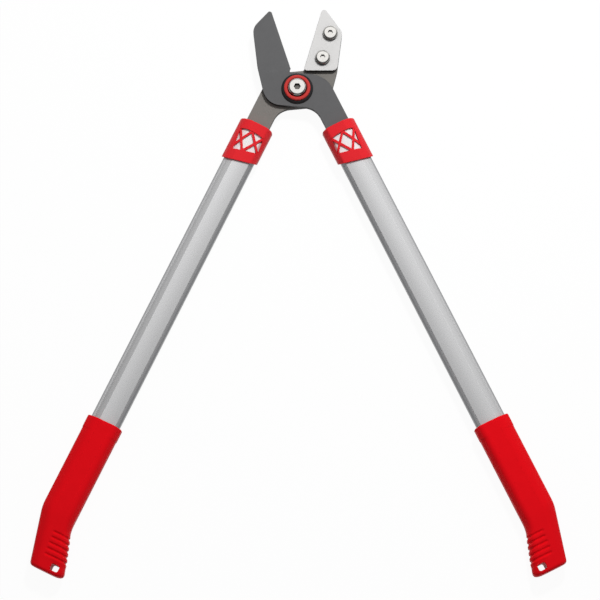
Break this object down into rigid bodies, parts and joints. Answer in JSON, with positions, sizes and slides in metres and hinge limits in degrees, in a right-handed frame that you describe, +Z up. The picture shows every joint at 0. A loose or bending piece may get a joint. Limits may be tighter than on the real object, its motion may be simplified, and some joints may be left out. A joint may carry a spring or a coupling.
{
  "type": "lopper",
  "caption": "Long-handled anvil lopper with a coated cutting blade, a screwed-on anvil plate, metal tube handles, lattice collars and bent plastic grips, stored half open.",
  "frame": {"origin": "middle of the underside of the lopper as stored, on the surface that its grips lie on", "axes": "+Y from the grips towards the jaws, +X towards the grip of the blade side, +Z up through the pivot, out of the bolt head"},
  "size_m": [0.57, 0.6388, 0.0296],
  "materials": {
    "coated_steel": "dark grey low-friction coating, satin",
    "carrier_steel": "warm grey coating, satin",
    "anvil_steel": "light grey, fine blasted",
    "bright_steel": "bright plated steel",
    "ring_red": "semi-gloss dusty red",
    "ring_black": "matt black",
    "anodised_tube": "satin anodised with a fine sparkle",
    "red_plastic": "satin signal red",
    "insert_plastic": "matt dark grey, hidden",
    "bronze": "plain bearing bronze, hidden"
  },
  "bodies": {
    "anvil_side": {"anvil_carrier": "carrier_steel", "anvil_plate": "anvil_steel", "anvil_screw_upper": "bright_steel", "anvil_screw_lower": "bright_steel", "pivot_bolt": "bright_steel", "pivot_red_ring": "ring_red", "pivot_base_ring": "ring_black", "pivot_bushing": "bronze", "pivot_glide_washer": "bronze", "pivot_rear_washer": "bright_steel", "pivot_lock_nut": "bright_steel", "left_tube": "anodised_tube", "left_tang_insert": "insert_plastic", "left_upper_pin": "bright_steel", "left_lower_pin": "bright_steel", "left_collar": "red_plastic", "left_grip": "red_plastic"},
    "blade_side": {"blade_arm": "coated_steel", "right_tube": "anodised_tube", "right_tang_insert": "insert_plastic", "right_upper_pin": "bright_steel", "right_lower_pin": "bright_steel", "right_collar": "red_plastic", "right_grip": "red_plastic"}
  },
  "joints": [
    {"name": "scissor_joint", "type": "hinge", "parent": "anvil_side", "child": "blade_side", "pos_m": [0, 0.22555, 0.0148], "axis": [0, 0, 1], "range_deg": [-33.8, 15]}
  ]
}
